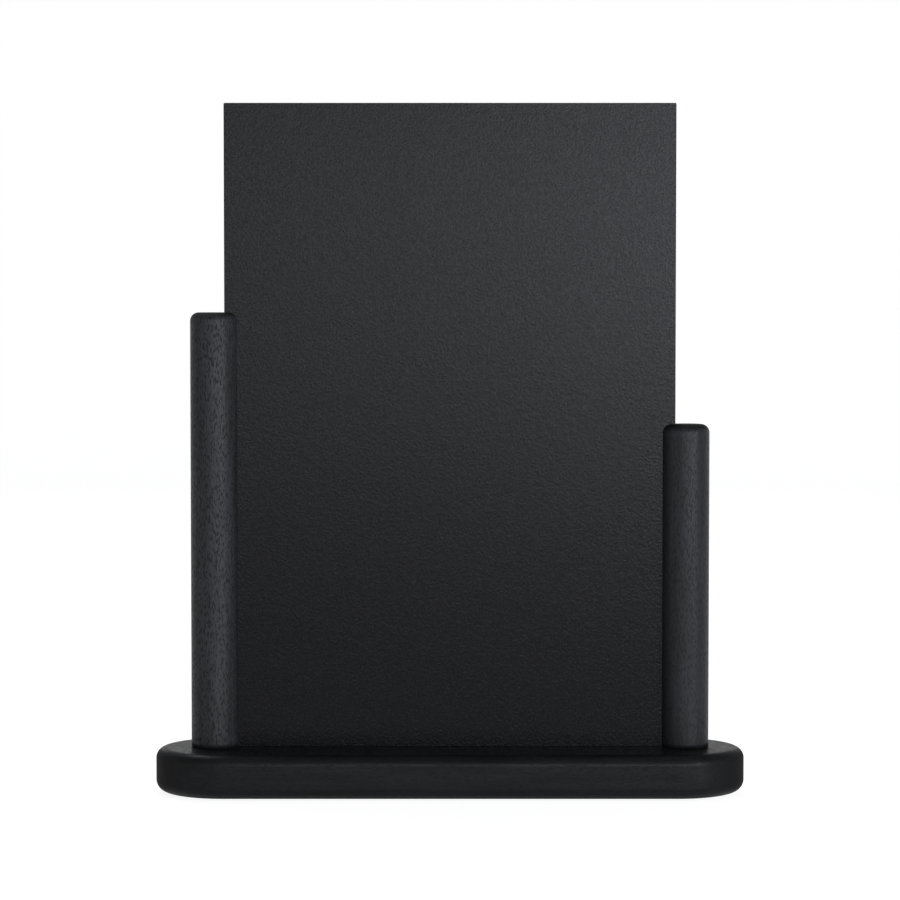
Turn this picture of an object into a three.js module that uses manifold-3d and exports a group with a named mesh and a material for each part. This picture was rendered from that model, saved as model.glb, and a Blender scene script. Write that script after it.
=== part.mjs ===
// A table-top chalkboard stand: a stadium-shaped hardwood base carries two slotted round posts of
// different height, and a double-sided writing board drops into the slots from above.
// Units are millimetres. +Z is up, X runs along the base, and -Y is the front.
// The origin is on the table, under the middle of the base. The tall post stands at -X.

import * as THREE from "three";
import { mergeVertices } from "three/addons/utils/BufferGeometryUtils.js";
import Module from "manifold-3d";

const wasm = await Module();
wasm.setup();

// ---------------------------------------------------------------- driving dimensions

// Writing board: a hardboard core with a thin writing sheet pressed on each side.
const BOARD_WIDTH = 210;
const BOARD_HEIGHT = 300;
const CORE_THICKNESS = 2.4;
const SHEET_THICKNESS = 0.3;

// Posts: round hardwood rod, rounded at the top, with a full-length slot for the board's edge.
const POST_DIAMETER = 22;
const TALL_POST_HEIGHT = 203;
const SHORT_POST_HEIGHT = 151;
const POST_TOP_ROUND = 4;
const POST_FOOT_CHAMFER = 0.4;
const SLOT_DEPTH = 7;
const SLOT_FACE_CLEARANCE = 0.25; // between the slot and each face of the board
const SLOT_FLOOR_CLEARANCE = 1; // between the slot's floor and the board's edge

// Base: a hardwood plank with half-round ends and rounded edges.
const BASE_DEPTH = 66;
const BASE_THICKNESS = 20.5;
const BASE_OVERHANG = 27.5; // from a post's axis to the end of the base
const BASE_TOP_ROUND = 5;
const BASE_BOTTOM_ROUND = 5.5;

// One countersunk wood screw holds each post from below.
const SCREW_LENGTH = 40;
const SCREW_THREAD_DIAMETER = 4;
const SCREW_CORE_DIAMETER = 2.6;
const SCREW_SHANK_LENGTH = 12; // smooth part, measured from the head's face
const SCREW_THREAD_PITCH = 1.8;
const SCREW_TIP_LENGTH = 4;
const SCREW_HEAD_DIAMETER = 8;
const SCREW_HEAD_RIM = 0.5;
const SCREW_HEAD_SET_IN = 0.6; // how far the head's face lies inside the base's underside
const RECESS_SPAN = 4.4; // the cross recess that the driver fits
const RECESS_WIDTH = 1;
const RECESS_DEPTH = 2.2;

// One fluted wooden pin beside each screw keeps the post from turning.
const PIN_DIAMETER = 4;
const PIN_LENGTH = 16;
const PIN_CHAMFER = 0.6;
const PIN_FLUTES = 12;
const PIN_FLUTE_DEPTH = 0.2;
const PIN_HOLE_SPARE_DEPTH = 1;

// Four thin rubber feet stuck under the base.
const FOOT_DIAMETER = 12;
const FOOT_THICKNESS = 1;
const FOOT_FROM_BASE_END = 48; // from the end of the base to a foot's centre
const FOOT_FROM_BASE_SIDE = 18.5; // from the long side of the base to a foot's centre

// Wood is bored this much wider, on the radius, than the screw or pin that it takes.
const BORE_CLEARANCE = 0.3;
// Cutting tools run this far past the surface that they start from.
const CUTTER_OVERRUN = 2;

// Facets of the round parts.
const POST_SEGMENTS = 48;
const END_SEGMENTS = 32;
const ROUND_STEPS = 6;
const SCREW_SEGMENTS = 24;
const FOOT_SEGMENTS = 32;

// ---------------------------------------------------------------- sizes that follow

const BOARD_THICKNESS = CORE_THICKNESS + 2 * SHEET_THICKNESS;
const SLOT_WIDTH = BOARD_THICKNESS + 2 * SLOT_FACE_CLEARANCE;
const POST_RADIUS = POST_DIAMETER / 2;
const SLOT_FLOOR_FROM_AXIS = POST_RADIUS - SLOT_DEPTH;
const POST_AXIS_X = BOARD_WIDTH / 2 + SLOT_FLOOR_CLEARANCE + SLOT_FLOOR_FROM_AXIS;
const BASE_HALF_LENGTH = POST_AXIS_X + BASE_OVERHANG;
const BASE_TOP_Z = FOOT_THICKNESS + BASE_THICKNESS;
const SCREW_BORE_RADIUS = SCREW_THREAD_DIAMETER / 2 + BORE_CLEARANCE;
const SCREW_DEPTH_IN_POST = SCREW_HEAD_SET_IN + SCREW_LENGTH - BASE_THICKNESS;
const PIN_BORE_RADIUS = PIN_DIAMETER / 2 + BORE_CLEARANCE;
const PIN_BORE_DEPTH = PIN_LENGTH / 2 + PIN_HOLE_SPARE_DEPTH;
// The pin stands midway between the screw's bore and the post's surface, away from the slot.
const PIN_FROM_AXIS = (SCREW_BORE_RADIUS + POST_RADIUS) / 2;

// ---------------------------------------------------------------- materials

const blackStainedWood = new THREE.MeshStandardMaterial({ color: 0x26272a, roughness: 0.5, metalness: 0 });
const writingSheet = new THREE.MeshStandardMaterial({ color: 0x2b2c2f, roughness: 0.6, metalness: 0 });
const hardboard = new THREE.MeshStandardMaterial({ color: 0x1b1a19, roughness: 0.8, metalness: 0 });
const paleBeech = new THREE.MeshStandardMaterial({ color: 0xc79f6f, roughness: 0.7, metalness: 0 });
const zincSteel = new THREE.MeshStandardMaterial({ color: 0xb8bab8, roughness: 0.35, metalness: 1 });
const blackRubber = new THREE.MeshStandardMaterial({ color: 0x17171a, roughness: 0.8, metalness: 0 });

// ---------------------------------------------------------------- solids and cuts

// A closed BufferGeometry as a manifold-3d solid.
function toSolid(geometry) {
  const bare = geometry.clone();
  bare.deleteAttribute("normal");
  bare.deleteAttribute("uv");
  const merged = mergeVertices(bare, 1e-4);
  return new wasm.Manifold(
    new wasm.Mesh({
      numProp: 3,
      vertProperties: merged.attributes.position.array,
      triVerts: new Uint32Array(merged.index.array),
    }),
  );
}

function toGeometry(solid) {
  const mesh = solid.getMesh();
  const geometry = new THREE.BufferGeometry();
  geometry.setAttribute("position", new THREE.BufferAttribute(mesh.vertProperties, 3));
  geometry.setIndex(new THREE.BufferAttribute(mesh.triVerts, 1));
  geometry.computeVertexNormals();
  return geometry;
}

// Takes every cutter away from a geometry.
function cut(geometry, cutters) {
  return toGeometry(cutters.reduce((body, cutter) => body.subtract(toSolid(cutter)), toSolid(geometry)));
}

// A turned piece: the profile's [radius, height] pairs go round the Z axis.
function turned(profile, segments) {
  const points = profile.map(([radius, height]) => new THREE.Vector2(radius, height));
  return new THREE.LatheGeometry(points, segments).rotateX(Math.PI / 2);
}

// A quarter-round edge as [inset, height] pairs, from the side face up to the flat face.
function quarterRound(radius, steps) {
  return Array.from({ length: steps + 1 }, (_, i) => {
    const angle = (i / steps) * (Math.PI / 2);
    return [radius * (1 - Math.cos(angle)), radius * Math.sin(angle)];
  });
}

// A closed solid from rings of [x, y, z] points stacked upwards. All rings have as many points, and
// run anticlockwise seen from above. A point in the middle closes each end.
function stacked(rings) {
  const count = rings[0].length;
  const middle = (ring) => [0, 0, ring[0][2]];
  const positions = [...rings.flat(), middle(rings[0]), middle(rings[rings.length - 1])].flat();
  const bottomMiddle = rings.length * count;
  const topMiddle = bottomMiddle + 1;
  const lastRing = (rings.length - 1) * count;
  const index = [];
  for (let i = 0; i < count; i++) {
    const next = (i + 1) % count;
    index.push(bottomMiddle, next, i);
    index.push(topMiddle, lastRing + i, lastRing + next);
    for (let level = 0; level < rings.length - 1; level++) {
      const low = level * count;
      const high = low + count;
      index.push(low + i, low + next, high + next);
      index.push(low + i, high + next, high + i);
    }
  }
  const geometry = new THREE.BufferGeometry();
  geometry.setAttribute("position", new THREE.Float32BufferAttribute(positions, 3));
  geometry.setIndex(index);
  return geometry;
}

// ---------------------------------------------------------------- stand

// The base's outline, moved inwards by inset, at height z: two half circles joined by straight sides.
function baseRing(inset, z) {
  const radius = BASE_DEPTH / 2 - inset;
  const halfStraight = BASE_HALF_LENGTH - BASE_DEPTH / 2;
  const halfCircle = (centreX, startAngle) =>
    Array.from({ length: END_SEGMENTS + 1 }, (_, i) => {
      const angle = startAngle + (i / END_SEGMENTS) * Math.PI;
      return [centreX + radius * Math.cos(angle), radius * Math.sin(angle), z];
    });
  return [...halfCircle(halfStraight, -Math.PI / 2), ...halfCircle(-halfStraight, Math.PI / 2)];
}

// The hole for a screw through the base, whose underside is at z = 0: a bore with a 90 degree
// countersink, which keeps the bore clearance all round the screw.
function screwHole() {
  const headBore = SCREW_HEAD_DIAMETER / 2 + BORE_CLEARANCE;
  const coneStart = SCREW_HEAD_SET_IN + SCREW_HEAD_RIM;
  const coneEnd = coneStart + headBore - SCREW_BORE_RADIUS;
  const top = BASE_THICKNESS + CUTTER_OVERRUN;
  const profile = [
    [0, -CUTTER_OVERRUN],
    [headBore, -CUTTER_OVERRUN],
    [headBore, coneStart],
    [SCREW_BORE_RADIUS, coneEnd],
    [SCREW_BORE_RADIUS, top],
    [0, top],
  ];
  return turned(profile, SCREW_SEGMENTS);
}

// A plain round cutter along Z, between two heights.
function drill(radius, low, high) {
  const profile = [
    [0, low],
    [radius, low],
    [radius, high],
    [0, high],
  ];
  return turned(profile, SCREW_SEGMENTS);
}

// The base stands on z = 0 of its own frame.
function baseBoard() {
  const bottomRings = quarterRound(BASE_BOTTOM_ROUND, ROUND_STEPS)
    .reverse()
    .map(([inset, height]) => baseRing(inset, BASE_BOTTOM_ROUND - height));
  const topRings = quarterRound(BASE_TOP_ROUND, ROUND_STEPS).map(([inset, height]) =>
    baseRing(inset, BASE_THICKNESS - BASE_TOP_ROUND + height),
  );
  const pinBore = drill(PIN_BORE_RADIUS, -PIN_BORE_DEPTH, CUTTER_OVERRUN);
  const cutters = [-1, 1].flatMap((side) => [
    screwHole().translate(side * POST_AXIS_X, 0, 0),
    pinBore.clone().translate(side * (POST_AXIS_X + PIN_FROM_AXIS), 0, BASE_THICKNESS),
  ]);
  return cut(stacked([...bottomRings, ...topRings]), cutters);
}

// A post stands on z = 0 with its axis at the origin and its slot open towards +X.
function post(height) {
  const profile = [
    [0, 0],
    [POST_RADIUS - POST_FOOT_CHAMFER, 0],
    [POST_RADIUS, POST_FOOT_CHAMFER],
    ...quarterRound(POST_TOP_ROUND, ROUND_STEPS).map(([inset, rise]) => [
      POST_RADIUS - inset,
      height - POST_TOP_ROUND + rise,
    ]),
    [0, height],
  ];
  const slotReach = SLOT_DEPTH + CUTTER_OVERRUN;
  const slot = new THREE.BoxGeometry(slotReach, SLOT_WIDTH, height + 2 * CUTTER_OVERRUN).translate(
    SLOT_FLOOR_FROM_AXIS + slotReach / 2,
    0,
    height / 2,
  );
  const screwBore = drill(SCREW_BORE_RADIUS, -CUTTER_OVERRUN, SCREW_DEPTH_IN_POST + BORE_CLEARANCE);
  const pinBore = drill(PIN_BORE_RADIUS, -CUTTER_OVERRUN, PIN_BORE_DEPTH).translate(-PIN_FROM_AXIS, 0, 0);
  return cut(turned(profile, POST_SEGMENTS), [slot, screwBore, pinBore]);
}

// A countersunk wood screw, pointing up, with the face of its head on z = 0. Its thread is a row of
// sharp rings, one for each pitch.
function woodScrew() {
  const headRadius = SCREW_HEAD_DIAMETER / 2;
  const threadRadius = SCREW_THREAD_DIAMETER / 2;
  const coreRadius = SCREW_CORE_DIAMETER / 2;
  const threadEnd = SCREW_LENGTH - SCREW_TIP_LENGTH;
  const turns = Math.floor((threadEnd - SCREW_SHANK_LENGTH) / SCREW_THREAD_PITCH);
  const thread = Array.from({ length: turns }, (_, i) => {
    const start = SCREW_SHANK_LENGTH + i * SCREW_THREAD_PITCH;
    return [
      [coreRadius, start + 0.1 * SCREW_THREAD_PITCH],
      [threadRadius, start + 0.5 * SCREW_THREAD_PITCH],
      [coreRadius, start + 0.9 * SCREW_THREAD_PITCH],
    ];
  }).flat();
  const profile = [
    [0, 0],
    [headRadius, 0],
    [headRadius, SCREW_HEAD_RIM],
    [coreRadius, SCREW_HEAD_RIM + headRadius - coreRadius],
    ...thread,
    [coreRadius, threadEnd],
    [0, SCREW_LENGTH],
  ];
  const recessBar = (width, depth) =>
    new THREE.BoxGeometry(width, depth, RECESS_DEPTH + CUTTER_OVERRUN).translate(
      0,
      0,
      (RECESS_DEPTH - CUTTER_OVERRUN) / 2,
    );
  return cut(turned(profile, SCREW_SEGMENTS), [
    recessBar(RECESS_SPAN, RECESS_WIDTH),
    recessBar(RECESS_WIDTH, RECESS_SPAN),
  ]);
}

// A fluted wooden pin standing on z = 0, chamfered at both ends.
function flutedPin() {
  const ring = (inset, z) =>
    Array.from({ length: 2 * PIN_FLUTES }, (_, i) => {
      const angle = (i / (2 * PIN_FLUTES)) * 2 * Math.PI;
      const radius = PIN_DIAMETER / 2 - inset - (i % 2) * PIN_FLUTE_DEPTH;
      return [radius * Math.cos(angle), radius * Math.sin(angle), z];
    });
  return stacked([
    ring(PIN_CHAMFER, 0),
    ring(0, PIN_CHAMFER),
    ring(0, PIN_LENGTH - PIN_CHAMFER),
    ring(PIN_CHAMFER, PIN_LENGTH),
  ]);
}

// A rubber disc standing on z = 0.
function rubberFoot() {
  return new THREE.CylinderGeometry(FOOT_DIAMETER / 2, FOOT_DIAMETER / 2, FOOT_THICKNESS, FOOT_SEGMENTS)
    .rotateX(Math.PI / 2)
    .translate(0, 0, FOOT_THICKNESS / 2);
}

// ---------------------------------------------------------------- assembly

function piece(name, geometry, material, x = 0, y = 0, z = 0) {
  const mesh = new THREE.Mesh(geometry, material);
  mesh.name = name;
  mesh.position.set(x, y, z);
  return mesh;
}

// A post with the screw and the pin that hold it. The group's origin is on the post's axis, on top of
// the base, and the slot opens towards the group's +X.
function postAssembly(prefix, height) {
  const group = new THREE.Group();
  group.add(
    piece(`${prefix}_post`, post(height), blackStainedWood),
    piece(`${prefix}_post_screw`, woodScrew(), zincSteel, 0, 0, SCREW_HEAD_SET_IN - BASE_THICKNESS),
    piece(`${prefix}_post_pin`, flutedPin(), paleBeech, -PIN_FROM_AXIS, 0, -PIN_LENGTH / 2),
  );
  return group;
}

function stand() {
  const group = new THREE.Group();
  group.add(piece("base_board", baseBoard(), blackStainedWood, 0, 0, FOOT_THICKNESS));

  const tallPost = postAssembly("tall", TALL_POST_HEIGHT);
  tallPost.position.set(-POST_AXIS_X, 0, BASE_TOP_Z);
  const shortPost = postAssembly("short", SHORT_POST_HEIGHT);
  shortPost.position.set(POST_AXIS_X, 0, BASE_TOP_Z);
  shortPost.rotation.z = Math.PI;
  group.add(tallPost, shortPost);

  const footX = BASE_HALF_LENGTH - FOOT_FROM_BASE_END;
  const footY = BASE_DEPTH / 2 - FOOT_FROM_BASE_SIDE;
  const corners = { front_left: [-1, -1], front_right: [1, -1], rear_left: [-1, 1], rear_right: [1, 1] };
  for (const [corner, [sideX, sideY]] of Object.entries(corners)) {
    group.add(piece(`${corner}_foot`, rubberFoot(), blackRubber, sideX * footX, sideY * footY, 0));
  }
  return group;
}

// The board's group has its origin at the middle of the board's lower edge.
function board() {
  const group = new THREE.Group();
  const sheetY = (CORE_THICKNESS + SHEET_THICKNESS) / 2;
  const sheet = () => new THREE.BoxGeometry(BOARD_WIDTH, SHEET_THICKNESS, BOARD_HEIGHT);
  const core = new THREE.BoxGeometry(BOARD_WIDTH, CORE_THICKNESS, BOARD_HEIGHT);
  const middleZ = BOARD_HEIGHT / 2;
  group.add(
    piece("board_core", core, hardboard, 0, 0, middleZ),
    piece("front_writing_sheet", sheet(), writingSheet, 0, -sheetY, middleZ),
    piece("rear_writing_sheet", sheet(), writingSheet, 0, sheetY, middleZ),
  );
  group.position.z = BASE_TOP_Z;
  return group;
}

const tableChalkboard = new THREE.Group();
tableChalkboard.add(stand(), board());

export default tableChalkboard;
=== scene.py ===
"""A table-top chalkboard stand: black-stained wooden base, two slotted round posts and a matt black
writing board that lifts out of the slots. Everything is in metres, +Z up, front at -Y, in the frame of
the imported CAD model, whose boxes give every place."""

import math

import bpy
import numpy as np
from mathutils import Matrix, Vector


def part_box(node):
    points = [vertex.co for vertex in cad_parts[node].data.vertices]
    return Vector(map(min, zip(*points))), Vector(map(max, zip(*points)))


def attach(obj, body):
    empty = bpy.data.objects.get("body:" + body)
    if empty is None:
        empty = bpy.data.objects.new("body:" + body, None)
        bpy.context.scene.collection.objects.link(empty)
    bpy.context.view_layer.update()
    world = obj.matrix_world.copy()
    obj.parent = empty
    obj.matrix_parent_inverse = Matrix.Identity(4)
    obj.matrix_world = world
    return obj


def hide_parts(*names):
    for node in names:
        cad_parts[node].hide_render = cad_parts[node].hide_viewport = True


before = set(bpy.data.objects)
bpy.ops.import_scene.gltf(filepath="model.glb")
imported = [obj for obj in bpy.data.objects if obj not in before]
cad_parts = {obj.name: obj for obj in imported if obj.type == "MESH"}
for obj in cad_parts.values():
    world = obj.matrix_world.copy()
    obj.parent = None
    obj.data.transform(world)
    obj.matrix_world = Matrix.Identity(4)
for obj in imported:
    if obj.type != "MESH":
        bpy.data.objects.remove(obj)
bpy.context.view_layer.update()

MM = 0.001

# ---------------------------------------------------------------- sizes the boxes don't give

SLOT_FACE_GAP = 0.25 * MM  # between the slot and each face of the board
SLOT_FLOOR_GAP = 1.0 * MM  # between the slot's floor and the board's edge
POST_TOP_ROUND = 4.0 * MM
POST_FOOT_CHAMFER = 0.4 * MM
BASE_TOP_ROUND = 5.0 * MM
BASE_BOTTOM_ROUND = 5.5 * MM
WOOD_ARRIS = 0.3 * MM  # sanded-off edge along the slots
BOARD_ARRIS = 0.12 * MM  # eased edge of the writing sheets
CORE_INSET = 0.05 * MM  # the sanded core lies this far inside the sheets' edges
BOARD_CORNER = 0.6 * MM
SCREW_BORE_RADIUS = 2.3 * MM
COUNTERSINK_RADIUS = 4.3 * MM
COUNTERSINK_CYLINDER = 1.1 * MM  # straight wall between the underside and the cone
BORE_SHOWN_DEPTH = 8.0 * MM  # the screw hides the bore beyond this
SCREW_HEAD_RIM = 0.5 * MM
SCREW_RIM_ARRIS = 0.1 * MM
SCREW_CORE_RADIUS = 1.3 * MM
SCREW_THREAD_RADIUS = 2.0 * MM
SCREW_SHANK_LENGTH = 12.0 * MM
SCREW_TIP_LENGTH = 4.0 * MM
SCREW_THREAD_PITCH = 1.8 * MM
THREAD_ROWS_PER_PITCH = 12
THREAD_CREST_SHARE = 0.3  # half the crest's width, as a share of the pitch
THREAD_END_MARGIN = 0.2 * MM  # plain length at each end of the thread
RECESS_SPAN = 4.4 * MM
RECESS_WIDTH = 1.0 * MM
RECESS_DEPTH = 2.2 * MM
RECESS_FLOOR_SHARE = 0.55  # the recess narrows to this share of its mouth
PIN_CHAMFER = 0.6 * MM
PIN_FLUTES = 12
PIN_POINTS_PER_FLUTE = 8
PIN_FLUTE_DEPTH = 0.2 * MM
FOOT_ARRIS = 0.25 * MM
NEARLY_CLOSED = 0.02 * MM  # radius of the ring that a small flat face closes

FILM_SPECULAR = 0.103


# ---------------------------------------------------------------- surfaces


def ring_faces(rings, first_closed=True, last_closed=True):
    """Faces over an array of rings, shape (rings, points, 3). Ring i joins ring i + 1 by a band of quads,
    and one flat face closes each end that is asked for. They point outwards when the points run
    anticlockwise seen against the stacking direction."""
    count = rings.shape[1]
    along = np.arange(rings.shape[0] - 1)[:, None] * count
    here = np.arange(count)[None, :]
    after = (here + 1) % count
    bands = np.stack((along + here, along + after, along + count + after, along + count + here), axis=-1)
    faces = bands.reshape(-1, 4).tolist()
    if first_closed:
        faces.append(np.arange(count)[::-1].tolist())
    if last_closed:
        faces.append((np.arange(count) + (rings.shape[0] - 1) * count).tolist())
    return faces


def ring_solid(name, rings, bevel=0.0):
    """A closed solid from one stack of rings. Edges sharper than 35 degrees get the bevel."""
    return finished(name, rings.reshape(-1, 3), ring_faces(rings), bevel)


def joined(parts):
    """One list of points and faces from several, with points at the same place made one."""
    points = np.vstack([part_points for part_points, _ in parts])
    starts = np.cumsum([0] + [len(part_points) for part_points, _ in parts])
    _, kept, new_number = np.unique(np.round(points / MM, 5) + 0.0, axis=0, return_index=True,
                                    return_inverse=True)
    new_number = new_number.reshape(-1)
    faces = [new_number[np.array(face) + start].tolist()
             for (_, part_faces), start in zip(parts, starts) for face in part_faces]
    return points[kept], faces


def finished(name, points, faces, bevel=0.0):
    """A smooth-shaded object at the origin, whose sharp edges are bevelled if a bevel is asked for and
    otherwise marked sharp.
    """
    mesh = bpy.data.meshes.new(name)
    mesh.from_pydata(points.tolist(), [], faces)
    mesh.polygons.foreach_set("use_smooth", np.ones(len(mesh.polygons), dtype=bool))
    mesh.update()
    piece = bpy.data.objects.new(name, mesh)
    bpy.context.scene.collection.objects.link(piece)
    sharp = math.radians(35)
    if bevel:
        edge = piece.modifiers.new("eased_edges", "BEVEL")
        edge.width = bevel
        edge.segments = 3
        edge.limit_method = "ANGLE"
        edge.angle_limit = sharp
    else:
        mesh.set_sharp_from_angle(angle=sharp)
    even = piece.modifiers.new("flat_faces_stay_flat", "WEIGHTED_NORMAL")
    even.keep_sharp = True
    return piece


def quarter_round(radius, steps=10):
    """Inset and rise of a quarter circle from an upright side over to a level top."""
    angle = np.linspace(0, math.pi / 2, steps)
    return np.column_stack((radius * (1 - np.cos(angle)), radius * np.sin(angle)))


def post_section(radius, floor, half_slot, arc_points=97, wall_points=5):
    """A round section with a slot open towards +X: the arc from the slot's upper lip round the back to
    its lower lip, in along the lower wall, and out again along the upper wall."""
    lip = math.asin(half_slot / radius)
    angle = np.linspace(lip, 2 * math.pi - lip, arc_points)
    arc = radius * np.column_stack((np.cos(angle), np.sin(angle)))
    inward = np.linspace(arc[-1, 0], floor, wall_points)[1:]
    lower = np.column_stack((inward, np.full(inward.size, -half_slot)))
    upper = np.column_stack((inward[::-1], np.full(inward.size, half_slot)))
    return np.vstack((arc, lower, upper))


def half_stadium(half_length, radius, hole_x, end_points=49, side_points=9):
    """The half of a stadium outline on the +X side, anticlockwise from above: along the front from x = 0,
    half a circle round the end and back along the rear to x = 0. The points on the straight sides lie
    closer together near the hole."""
    half_straight = half_length - radius
    angle = np.linspace(-math.pi / 2, math.pi / 2, end_points)
    end = np.column_stack((half_straight + radius * np.cos(angle), radius * np.sin(angle)))
    x = hole_x - np.geomspace(hole_x - half_straight + 5 * MM, hole_x, side_points)
    rear = np.column_stack((x, np.full(side_points, radius)))
    front = np.column_stack((x, np.full(side_points, -radius)))[::-1]
    return np.vstack((front, end, rear))


def circle_angles(count):
    return np.linspace(0, 2 * math.pi, count, endpoint=False)


def turned(centre, angle, rows):
    """Rings round an upright axis from rows of (radius, height). A radius may be one number or an array
    with a value for each angle."""
    rings = np.empty((len(rows), len(angle), 3))
    for ring, (radius, height) in zip(rings, rows):
        ring[:, 0] = centre[0] + radius * np.cos(angle)
        ring[:, 1] = centre[1] + radius * np.sin(angle)
        ring[:, 2] = height
    return rings


def level_ring(outline, z):
    return np.column_stack((outline, np.full(len(outline), z)))


# ---------------------------------------------------------------- pieces

post_box = {name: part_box(name + "_post") for name in ("tall", "short")}
board_low, board_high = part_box("board_core")
sheet_low, sheet_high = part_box("front_writing_sheet")
base_low, base_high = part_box("base_board")

HALF_SLOT = -sheet_low[1] + SLOT_FACE_GAP
POST_RADIUS = (post_box["tall"][1][1] - post_box["tall"][0][1]) / 2
SLOT_FLOOR_X = board_high[0] + SLOT_FLOOR_GAP
POST_AXIS_X = {
    "tall": post_box["tall"][0][0] + POST_RADIUS,
    "short": post_box["short"][1][0] - POST_RADIUS,
}


def make_post(name):
    """The post's section stacked along Z: chamfered foot, straight body and rounded top."""
    low, high = post_box[name]
    axis = POST_AXIS_X[name]
    facing = -math.copysign(1, axis)
    floor = abs(axis) - SLOT_FLOOR_X
    rise = quarter_round(POST_TOP_ROUND)
    rows = [(POST_RADIUS - POST_FOOT_CHAMFER, low[2]), (POST_RADIUS, low[2] + POST_FOOT_CHAMFER)]
    rows += [(POST_RADIUS - inset, high[2] - POST_TOP_ROUND + up) for inset, up in rise]
    rings = np.stack([level_ring(post_section(r, floor, HALF_SLOT), z) for r, z in rows])
    rings[:, :, :2] *= facing
    rings[:, :, 0] += axis
    return ring_solid(name + "_post_wood", rings, WOOD_ARRIS)


def make_base():
    """A stadium outline stacked along Z. The underside of each half narrows along straight rays from the
    outline to a countersunk screw hole: a straight wall, a cone and a bore."""
    hole_x = POST_AXIS_X["short"]
    bottom = base_low[2]

    def half(inset):
        return half_stadium(base_high[0] - inset, base_high[1] - inset, hole_x)

    rows = [(inset, bottom + BASE_BOTTOM_ROUND - up) for inset, up in quarter_round(BASE_BOTTOM_ROUND)[::-1]]
    rows += [(inset, base_high[2] - BASE_TOP_ROUND + up) for inset, up in quarter_round(BASE_TOP_ROUND)]
    rings = []
    for inset, z in rows:
        outline = half(inset)[:-1]
        rings.append(level_ring(np.vstack((outline, -outline)), z))
    body = np.stack(rings)

    middle = np.linspace(1, -1, 7)[1:-1] * (base_high[1] - BASE_BOTTOM_ROUND)
    edge = np.vstack((half(BASE_BOTTOM_ROUND), np.column_stack((np.zeros(middle.size), middle))))
    ray = np.arctan2(edge[:, 1], edge[:, 0] - hole_x)
    cone_start = bottom + COUNTERSINK_CYLINDER
    cone_end = cone_start + COUNTERSINK_RADIUS - SCREW_BORE_RADIUS
    hole = turned((hole_x, 0), ray, [(SCREW_BORE_RADIUS, bottom + BORE_SHOWN_DEPTH),
                                     (SCREW_BORE_RADIUS, cone_end),
                                     (COUNTERSINK_RADIUS, cone_start),
                                     (COUNTERSINK_RADIUS, bottom + WOOD_ARRIS),
                                     (COUNTERSINK_RADIUS + WOOD_ARRIS, bottom)])
    under = np.concatenate((hole, level_ring(edge, bottom)[None]))
    half_turn = np.array((-1, -1, 1))
    under_faces = ring_faces(under, last_closed=False)
    points, faces = joined([(body.reshape(-1, 3), ring_faces(body, first_closed=False)),
                            (under.reshape(-1, 3), under_faces),
                            ((under * half_turn).reshape(-1, 3), under_faces)])
    return finished("base_wood", points, faces)


def cross_angles():
    """64 angles round a cross recess, with one at each of the cross's twelve corners."""
    corner = math.atan2(RECESS_WIDTH, RECESS_SPAN)
    octant = np.concatenate((np.linspace(0, corner, 4), np.linspace(corner, math.pi / 4, 6)[1:]))
    quarter = np.concatenate((octant, math.pi / 2 - octant[-2:0:-1]))
    return np.concatenate([quarter + turn * math.pi / 2 for turn in range(4)])


def cross_reach(angle, size):
    """Distance from the middle of a cross to its outline, which is the nearer of the end of an arm and
    the straight side of an arm."""
    folded = np.abs((angle + math.pi / 4) % (math.pi / 2) - math.pi / 4)
    arm_end = RECESS_SPAN / 2 / np.cos(folded)
    arm_side = RECESS_WIDTH / 2 / np.maximum(np.sin(folded), 1e-6)
    return size * np.minimum(arm_end, arm_side)


def make_screw(post):
    """One grid of angle by path: from the middle of the cross recess out over the head's face, round its
    rim, down the cone and the shank, and along the thread to the tip. The thread's radius rises to a
    sharp crest once a pitch, and the crest's height turns with the angle."""
    low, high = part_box(post + "_post_screw")
    face = low[2]
    length = high[2] - face
    head = (high[0] - low[0]) / 2
    angle = cross_angles()
    rows = [(NEARLY_CLOSED, RECESS_DEPTH), (cross_reach(angle, RECESS_FLOOR_SHARE), RECESS_DEPTH),
            (cross_reach(angle, 1.0), 0), (head - SCREW_RIM_ARRIS, 0), (head, SCREW_RIM_ARRIS),
            (head, SCREW_HEAD_RIM),
            (SCREW_THREAD_RADIUS, SCREW_HEAD_RIM + head - SCREW_THREAD_RADIUS),
            (SCREW_THREAD_RADIUS, SCREW_SHANK_LENGTH)]
    for path in np.arange(SCREW_SHANK_LENGTH + THREAD_END_MARGIN, length - THREAD_END_MARGIN,
                          SCREW_THREAD_PITCH / THREAD_ROWS_PER_PITCH):
        phase = (path / SCREW_THREAD_PITCH - angle / (2 * math.pi)) % 1
        crest = np.maximum(0, 1 - np.abs(phase - 0.5) / THREAD_CREST_SHARE)
        taper = min(1, (length - path) / SCREW_TIP_LENGTH)
        core = SCREW_CORE_RADIUS + (SCREW_THREAD_RADIUS - SCREW_CORE_RADIUS) * crest
        rows.append((taper * core, path))
    rows.append((NEARLY_CLOSED, length))
    rows = [(radius, face + path) for radius, path in rows]
    return ring_solid(post + "_screw", turned((POST_AXIS_X[post], 0), angle, rows))


def make_pin(post):
    """A fluted pin: a round section with shallow hollows, stacked along Z, with chamfered ends."""
    low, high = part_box(post + "_post_pin")
    centre = ((low[0] + high[0]) / 2, (low[1] + high[1]) / 2)
    angle = circle_angles(PIN_FLUTES * PIN_POINTS_PER_FLUTE)
    fluted = (high[1] - low[1]) / 2 - PIN_FLUTE_DEPTH * np.maximum(0, -np.cos(PIN_FLUTES * angle))
    rows = [(fluted - PIN_CHAMFER, low[2]), (fluted, low[2] + PIN_CHAMFER),
            (fluted, high[2] - PIN_CHAMFER), (fluted - PIN_CHAMFER, high[2])]
    return ring_solid(post + "_pin", turned(centre, angle, rows))


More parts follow.
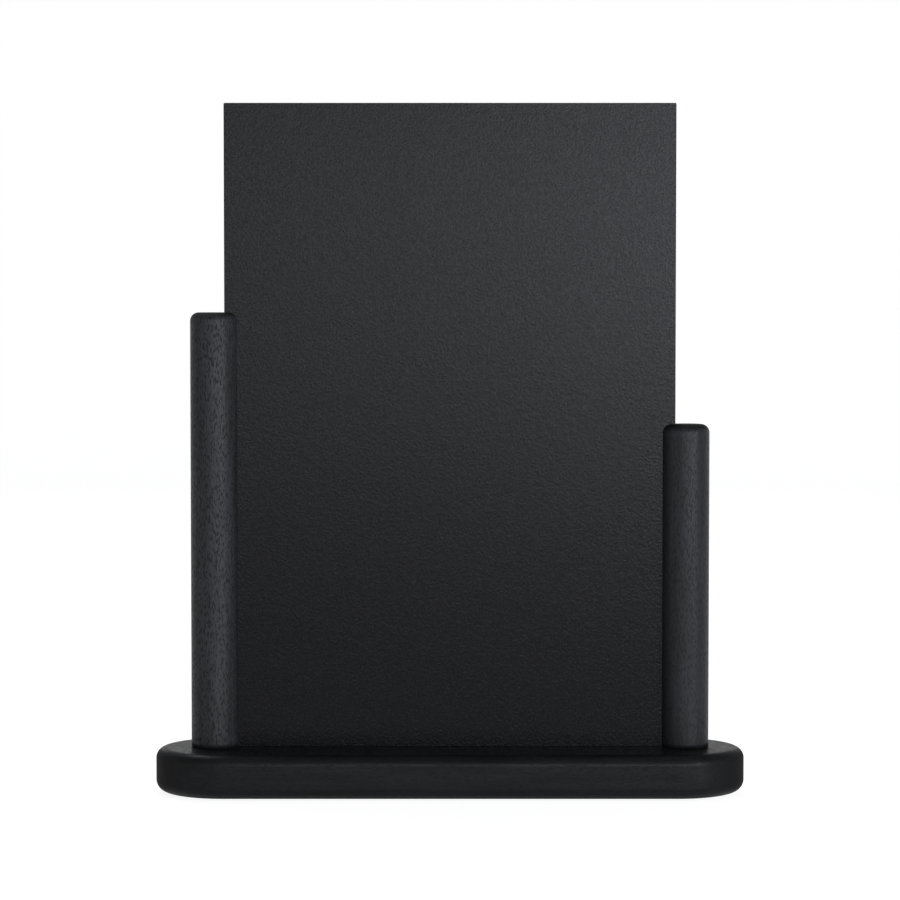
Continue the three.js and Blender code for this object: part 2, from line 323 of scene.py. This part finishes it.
def make_foot(node):
    """A rubber disc with a rounded lower edge."""
    low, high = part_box(node)
    centre = ((low[0] + high[0]) / 2, (low[1] + high[1]) / 2)
    radius = (high[0] - low[0]) / 2
    rows = [(radius - inset, low[2] + FOOT_ARRIS - up) for inset, up in quarter_round(FOOT_ARRIS, 6)[::-1]]
    rows.append((radius, high[2]))
    return ring_solid(node + "_disc", turned(centre, circle_angles(72), rows))


def rounded_rectangle(low, high, inset, corner_points=5):
    """A rectangle in the XZ plane with rounded corners, moved inwards by inset, anticlockwise seen
    from the front."""
    radius = BOARD_CORNER
    quarter = np.linspace(0, math.pi / 2, corner_points)
    centres = [(high[0], low[2], 3), (high[0], high[2], 0), (low[0], high[2], 1), (low[0], low[2], 2)]
    corners = []
    for x, z, quadrant in centres:
        centre_x = x - math.copysign(radius, x)
        centre_z = z + radius if z == low[2] else z - radius
        angle = quarter + quadrant * math.pi / 2
        reach = radius - inset
        corners.append(np.column_stack((centre_x + reach * np.cos(angle), centre_z + reach * np.sin(angle))))
    return np.vstack(corners)


def make_plate(name, node, inset, arris):
    """A rounded rectangle stacked along Y, with both of its long edges eased by the arris."""
    low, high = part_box(node)
    rows = [(arris, high[1]), (0, high[1] - arris), (0, low[1] + arris), (arris, low[1])]
    rings = []
    for extra, y in rows:
        outline = rounded_rectangle(low, high, inset + extra)
        rings.append(np.column_stack((outline[:, 0], np.full(len(outline), y), outline[:, 1])))
    return ring_solid(name, np.stack(rings))


# ---------------------------------------------------------------- materials


def srgb(code):
    """A linear RGBA colour from an sRGB hex code such as 1c1d1f."""
    value = np.array([int(code[i : i + 2], 16) for i in (0, 2, 4)]) / 255
    linear = np.where(value <= 0.04045, value / 12.92, ((value + 0.055) / 1.055) ** 2.4)
    return (*linear.tolist(), 1.0)


def add(tree, kind, inputs=None, **settings):
    """Adds a node, sets its settings, and gives each input a value or links it from a socket."""
    node = tree.nodes.new(kind)
    for key, value in settings.items():
        setattr(node, key, value)
    for key, value in (inputs or {}).items():
        if isinstance(value, bpy.types.NodeSocket):
            tree.links.new(value, node.inputs[key])
        else:
            node.inputs[key].default_value = value
    return node


def new_material(name):
    material = bpy.data.materials.new(name)
    material.use_nodes = True
    material.node_tree.nodes.clear()
    return material, material.node_tree


def output(tree, surface):
    add(tree, "ShaderNodeOutputMaterial", {"Surface": surface})


def dress(piece, material):
    piece.data.materials.clear()
    piece.data.materials.append(material)


def per_mm(size):
    """The noise scale at which one feature is size millimetres across."""
    return 1 / (size * MM)


def stained_wood(name, grain, pore_contrast, roughness, specular, dark, light, start, painted_shadow_z):
    """Close-grained hardwood, sanded, black-stained and sealed with a thin satin lacquer. The stain
    leaves it nearly black. The open pores are short dark dashes along the grain that the lacquer
    doesn't fill, so they break up the highlights. End grain drinks more stain and stays dull. Just above
    the given height the wood is painted black and dull as painted contact shadow, at a post's foot on the
    base."""
    material, tree = new_material(name)
    place = add(tree, "ShaderNodeTexCoord")

    def along_grain(squeeze):
        scale = tuple(squeeze if axis == grain else 1.0 for axis in "XYZ")
        mapped = add(tree, "ShaderNodeMapping", {"Vector": place.outputs["Object"], "Location": start,
                                                 "Scale": scale})
        return mapped.outputs["Vector"]

    # Pores 0.3 mm wide and 1 mm long: drawn wider than the real 0.1 mm so that they show.
    pores = add(tree, "ShaderNodeTexNoise", {"Vector": along_grain(0.32), "Scale": per_mm(0.62),
                                             "Detail": 1.5, "Roughness": 0.5})
    closed = add(tree, "ShaderNodeMapRange", {"Value": pores.outputs["Fac"], "From Min": 0.36,
                                              "From Max": 0.54}, interpolation_type="SMOOTHSTEP")
    clear = add(tree, "ShaderNodeMapRange", {"Value": closed.outputs["Result"],
                                             "To Min": 1.0 - pore_contrast, "To Max": 1.0})
    # Softer and harder bands of growth, about 5 mm across, take up the stain unevenly.
    bands = add(tree, "ShaderNodeTexNoise", {"Vector": along_grain(0.08), "Scale": per_mm(5.0),
                                             "Detail": 3.0, "Roughness": 0.6})
    stain = add(tree, "ShaderNodeValToRGB", {"Fac": bands.outputs["Fac"]})
    stain.color_ramp.elements[0].position = 0.3
    stain.color_ramp.elements[0].color = srgb(dark)
    stain.color_ramp.elements[1].position = 0.7
    stain.color_ramp.elements[1].color = srgb(light)
    filled = add(tree, "ShaderNodeMix", {"Factor": clear.outputs["Result"], "A": srgb("050506"),
                                         "B": stain.outputs["Color"]}, data_type="RGBA")
    # End grain: where the surface faces along the grain.
    facing = add(tree, "ShaderNodeSeparateXYZ", {"Vector": place.outputs["Normal"]})
    squareness = add(tree, "ShaderNodeMath", {0: facing.outputs[grain]}, operation="ABSOLUTE")
    end = add(tree, "ShaderNodeMapRange", {"Value": squareness.outputs[0], "From Min": 0.35,
                                           "From Max": 0.9}, interpolation_type="SMOOTHSTEP")
    colour = add(tree, "ShaderNodeMix", {"Factor": end.outputs["Result"], "A": filled.outputs["Result"],
                                         "B": srgb("09090a")}, data_type="RGBA")
    sealed = add(tree, "ShaderNodeMapRange", {"Value": clear.outputs["Result"], "To Min": 0.75,
                                              "To Max": roughness})
    rough = add(tree, "ShaderNodeMix", {"Factor": end.outputs["Result"], "A": sealed.outputs["Result"],
                                        "B": 0.75}, data_type="FLOAT")
    # Painted contact shadow: black and dull up to 0.8 mm above the given height, fading out by 2.6 mm.
    height = add(tree, "ShaderNodeSeparateXYZ", {"Vector": place.outputs["Object"]})
    painted_foot_shadow = add(tree, "ShaderNodeMapRange", {"Value": height.outputs["Z"], "From Min": painted_shadow_z + 0.8 * MM,
                                            "From Max": painted_shadow_z + 2.6 * MM, "To Min": 1.0, "To Max": 0.0},
               interpolation_type="SMOOTHSTEP")
    colour = add(tree, "ShaderNodeMix", {"Factor": painted_foot_shadow.outputs["Result"], "A": colour.outputs["Result"],
                                         "B": srgb("020202")}, data_type="RGBA")
    rough = add(tree, "ShaderNodeMix", {"Factor": painted_foot_shadow.outputs["Result"], "A": rough.outputs["Result"],
                                        "B": 0.9}, data_type="FLOAT")
    bump = add(tree, "ShaderNodeBump", {"Height": clear.outputs["Result"], "Strength": 0.6,
                                        "Distance": 0.06 * MM})
    shader = add(tree, "ShaderNodeBsdfPrincipled", {"Roughness": rough.outputs["Result"],
                                                    "Normal": bump.outputs["Normal"]})
    tree.links.new(colour.outputs["Result"], shader.inputs["Base Color"])
    shader.inputs["Specular IOR Level"].default_value = specular
    output(tree, shader.outputs["BSDF"])
    return material


def chalkboard_film():
    """Matt black PVC film with a fine embossed tooth that takes the chalk. The tops of the tooth are
    rubbed smoother and paler than its hollows."""
    material, tree = new_material("matt_black_chalkboard_film")
    place = add(tree, "ShaderNodeTexCoord")
    tooth = add(tree, "ShaderNodeTexNoise", {"Vector": place.outputs["Object"], "Scale": per_mm(0.95),
                                             "Detail": 2.0, "Roughness": 0.7})
    colour = add(tree, "ShaderNodeValToRGB", {"Fac": tooth.outputs["Fac"]})
    colour.color_ramp.elements[0].position = 0.4
    colour.color_ramp.elements[0].color = srgb("020203")
    colour.color_ramp.elements[1].position = 0.62
    colour.color_ramp.elements[1].color = srgb("0d0e10")
    bump = add(tree, "ShaderNodeBump", {"Height": tooth.outputs["Fac"], "Strength": 1.0,
                                        "Distance": 0.1 * MM})
    rough = add(tree, "ShaderNodeMapRange", {"Value": tooth.outputs["Fac"], "From Min": 0.3,
                                             "From Max": 0.7, "To Min": 0.24, "To Max": 0.15})
    shader = add(tree, "ShaderNodeBsdfPrincipled", {"Roughness": rough.outputs["Result"],
                                                    "Normal": bump.outputs["Normal"]})
    tree.links.new(colour.outputs["Color"], shader.inputs["Base Color"])
    shader.inputs["Specular IOR Level"].default_value = FILM_SPECULAR
    output(tree, shader.outputs["BSDF"])
    return material


def dyed_hardboard():
    """Dense fibreboard dyed black through and sanded at the edges: a dull, fine-fibred surface."""
    material, tree = new_material("black_dyed_hardboard")
    place = add(tree, "ShaderNodeTexCoord")
    fibre = add(tree, "ShaderNodeTexNoise", {"Vector": place.outputs["Object"], "Scale": per_mm(0.5),
                                             "Detail": 3.0, "Roughness": 0.7})
    colour = add(tree, "ShaderNodeValToRGB", {"Fac": fibre.outputs["Fac"]})
    colour.color_ramp.elements[0].color = srgb("0f0f0f")
    colour.color_ramp.elements[1].color = srgb("2c2a28")
    shader = add(tree, "ShaderNodeBsdfPrincipled", {"Roughness": 0.75})
    tree.links.new(colour.outputs["Color"], shader.inputs["Base Color"])
    output(tree, shader.outputs["BSDF"])
    return material


def bare_beech():
    """Untreated pale beech with its short brown flecks along the grain."""
    material, tree = new_material("bare_beech")
    place = add(tree, "ShaderNodeTexCoord")
    mapped = add(tree, "ShaderNodeMapping", {"Vector": place.outputs["Object"], "Scale": (1, 1, 0.2)})
    fleck = add(tree, "ShaderNodeTexNoise", {"Vector": mapped.outputs["Vector"], "Scale": per_mm(0.5),
                                             "Detail": 2.0, "Roughness": 0.6})
    colour = add(tree, "ShaderNodeValToRGB", {"Fac": fleck.outputs["Fac"]})
    colour.color_ramp.elements[0].position = 0.32
    colour.color_ramp.elements[0].color = srgb("9b7247")
    colour.color_ramp.elements[1].position = 0.5
    colour.color_ramp.elements[1].color = srgb("c79f6f")
    shader = add(tree, "ShaderNodeBsdfPrincipled", {"Roughness": 0.7})
    tree.links.new(colour.outputs["Color"], shader.inputs["Base Color"])
    output(tree, shader.outputs["BSDF"])
    return material


def zinc_plated_steel():
    """Bright zinc plating: a pale, bluish metal, slightly cloudy from handling."""
    material, tree = new_material("bright_zinc_plated_steel")
    place = add(tree, "ShaderNodeTexCoord")
    cloud = add(tree, "ShaderNodeTexNoise", {"Vector": place.outputs["Object"], "Scale": per_mm(1.5),
                                             "Detail": 3.0, "Roughness": 0.6})
    colour = add(tree, "ShaderNodeValToRGB", {"Fac": cloud.outputs["Fac"]})
    colour.color_ramp.elements[0].color = srgb("b3b6b8")
    colour.color_ramp.elements[1].color = srgb("d2d4d5")
    rough = add(tree, "ShaderNodeMapRange", {"Value": cloud.outputs["Fac"], "To Min": 0.26, "To Max": 0.4})
    shader = add(tree, "ShaderNodeBsdfPrincipled", {"Metallic": 1.0, "Roughness": rough.outputs["Result"]})
    tree.links.new(colour.outputs["Color"], shader.inputs["Base Color"])
    output(tree, shader.outputs["BSDF"])
    return material


def foot_rubber():
    """Matt black rubber with a dusty, slightly pitted surface."""
    material, tree = new_material("matt_black_rubber")
    place = add(tree, "ShaderNodeTexCoord")
    pits = add(tree, "ShaderNodeTexNoise", {"Vector": place.outputs["Object"], "Scale": per_mm(0.4),
                                            "Detail": 2.0, "Roughness": 0.6})
    colour = add(tree, "ShaderNodeValToRGB", {"Fac": pits.outputs["Fac"]})
    colour.color_ramp.elements[0].color = srgb("111112")
    colour.color_ramp.elements[1].color = srgb("232324")
    bump = add(tree, "ShaderNodeBump", {"Height": pits.outputs["Fac"], "Strength": 0.5,
                                        "Distance": 0.04 * MM})
    shader = add(tree, "ShaderNodeBsdfPrincipled", {"Roughness": 0.8, "Normal": bump.outputs["Normal"]})
    tree.links.new(colour.outputs["Color"], shader.inputs["Base Color"])
    output(tree, shader.outputs["BSDF"])
    return material


# ---------------------------------------------------------------- the object

wood = {
    "tall": stained_wood("black_stained_wood_tall_post", grain="Z", pore_contrast=0.7, roughness=0.44,
                         specular=0.165, dark="1d1d1e", light="2c2d30", start=(0, 0, 0),
                         painted_shadow_z=base_high[2]),
    "short": stained_wood("black_stained_wood_short_post", grain="Z", pore_contrast=0.5, roughness=0.4,
                          specular=0.145, dark="19191a", light="27282b", start=(3, 1, 2),
                          painted_shadow_z=base_high[2]),
    # Height 0 puts the painted contact shadow on whatever of the base lies below 2.6 mm, by the floor.
    "base": stained_wood("black_stained_wood_base", grain="X", pore_contrast=0.45, roughness=0.36,
                         specular=0.085, dark="0e0f0f", light="191a1b", start=(5, 4, 1), painted_shadow_z=0),
}
steel = zinc_plated_steel()
beech = bare_beech()
rubber = foot_rubber()
for post in ("tall", "short"):
    made = make_post(post)
    dress(made, wood[post])
    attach(made, "stand")
    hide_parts(post + "_post")

    screw = make_screw(post)
    dress(screw, steel)
    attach(screw, "stand")
    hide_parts(post + "_post_screw")

    pin = make_pin(post)
    dress(pin, beech)
    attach(pin, "stand")
    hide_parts(post + "_post_pin")

for corner in ("front_left", "front_right", "rear_left", "rear_right"):
    foot = make_foot(corner + "_foot")
    dress(foot, rubber)
    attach(foot, "stand")
    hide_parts(corner + "_foot")

base = make_base()
dress(base, wood["base"])
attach(base, "stand")
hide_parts("base_board")

film = chalkboard_film()
core = make_plate("board_core_plate", "board_core", CORE_INSET, BOARD_ARRIS)
dress(core, dyed_hardboard())
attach(core, "board")
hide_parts("board_core")
for side in ("front", "rear"):
    sheet = make_plate(side + "_chalk_film", side + "_writing_sheet", 0, BOARD_ARRIS)
    dress(sheet, film)
    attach(sheet, "board")
    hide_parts(side + "_writing_sheet")

# ---------------------------------------------------------------- studio

GLOW = 0.89  # what the paper gives out towards the camera, next to the light it returns
CAMERA_DISTANCE = 1.45
CAMERA_HEIGHT = 0.2305
CAMERA_TILT = 2.77  # degrees below level
CAMERA_LENS = 124.5
CAMERA_SENSOR = 36


def studio_paper():
    """Pale paper. The camera, and anything that mirrors or transmits it, sees it as white, less the
    object's shadow."""
    material, tree = new_material("pale_backdrop_paper")
    rays = add(tree, "ShaderNodeLightPath")
    seen = add(tree, "ShaderNodeMath", {0: rays.outputs["Is Camera Ray"],
                                        1: rays.outputs["Is Glossy Ray"]}, operation="MAXIMUM")
    seen = add(tree, "ShaderNodeMath", {0: seen.outputs[0], 1: rays.outputs["Is Transmission Ray"]},
               operation="MAXIMUM")
    paper = add(tree, "ShaderNodeBsdfDiffuse", {"Color": srgb("d0d0d0")})
    shaded = add(tree, "ShaderNodeBsdfDiffuse", {"Color": srgb("939393")})
    glow = add(tree, "ShaderNodeEmission", {"Color": srgb("ffffff"), "Strength": GLOW})
    white = add(tree, "ShaderNodeAddShader", {0: shaded.outputs[0], 1: glow.outputs[0]})
    mix = add(tree, "ShaderNodeMixShader", {"Fac": seen.outputs[0], 1: paper.outputs[0],
                                            2: white.outputs[0]})
    output(tree, mix.outputs[0])
    return material


def make_cyclorama(radius=3.2, height=1.3, corner=0.8, around=96):
    """A round paper floor that turns up into a wall: a profile of a straight floor, a quarter circle
    and a straight wall, carried once round the Z axis."""
    turn = np.linspace(0, math.pi / 2, 13)
    reach = np.concatenate(([0.001], radius - corner + corner * np.sin(turn), [radius]))
    rise = np.concatenate(([0], corner - corner * np.cos(turn), [height]))
    rings = turned((0, 0), circle_angles(around), list(zip(reach, rise)))
    here = np.arange(around)
    after = (here + 1) % around
    step = np.arange(len(reach) - 1)[:, None] * around
    bands = np.stack((step + here, step + around + here, step + around + after, step + after), axis=-1)
    faces = bands.reshape(-1, 4).tolist() + [here.tolist()]
    cove = finished("paper_cyclorama", rings.reshape(-1, 3), faces)
    dress(cove, studio_paper())


def make_world(strength):
    """Dim, even light from the rest of the studio."""
    world = bpy.data.worlds.new("studio")
    world.use_nodes = True
    bpy.context.scene.world = world
    fill = world.node_tree.nodes["Background"].inputs
    fill["Color"].default_value = srgb("ffffff")
    fill["Strength"].default_value = strength


def aim(thing, target):
    """Turns a lamp or a camera so that its -Z axis points at the target."""
    x, y, z = (t - p for t, p in zip(target, thing.location))
    thing.rotation_euler = (math.pi / 2 + math.atan2(z, math.hypot(x, y)), 0, math.atan2(-x, y))


def add_softbox(name, place, target, width, height, watts):
    """A slightly cool rectangular lamp, turned to its target and hidden from the camera."""
    lamp = bpy.data.lights.new(name, "AREA")
    lamp.shape = "RECTANGLE"
    lamp.size = width
    lamp.size_y = height
    lamp.energy = watts
    lamp.color = srgb("f3f6ff")[:3]
    holder = bpy.data.objects.new(name, lamp)
    holder.location = place
    holder.visible_camera = False
    bpy.context.scene.collection.objects.link(holder)
    aim(holder, target)


def make_camera():
    """At table-top height in front of the middle, tipped slightly down."""
    data = bpy.data.cameras.new("camera")
    data.sensor_width = CAMERA_SENSOR
    data.lens = CAMERA_LENS
    camera = bpy.data.objects.new("camera", data)
    camera.location = (0, -CAMERA_DISTANCE, CAMERA_HEIGHT)
    camera.rotation_euler = (math.radians(90 - CAMERA_TILT), 0, 0)
    data.clip_end = 50
    bpy.context.scene.collection.objects.link(camera)
    bpy.context.scene.camera = camera


make_cyclorama()
make_world(0.22)
add_softbox("front_softbox", place=(0.325, -1.9, 0.36), target=(0.05, 0, 0.36),
            width=1.55, height=0.5, watts=11)
add_softbox("front_right_softbox", place=(0.5, -1.88, 0.34), target=(0.1, 0, 0.34),
            width=0.6, height=0.5, watts=6.6)
add_softbox("right_softbox", place=(1.35, -1.45, 0.45), target=(0, 0, 0.2), width=0.2, height=0.8, watts=21)
add_softbox("left_softbox", place=(-0.95, -1.6, 0.6), target=(0, 0, 0.2), width=0.2, height=0.5, watts=1.4)
add_softbox("rear_softbox", place=(-0.4, 0.9, 1.9), target=(0, 0, 0.2), width=1.2, height=0.8, watts=20)
make_camera()
bpy.context.scene.view_settings.view_transform = "Standard"
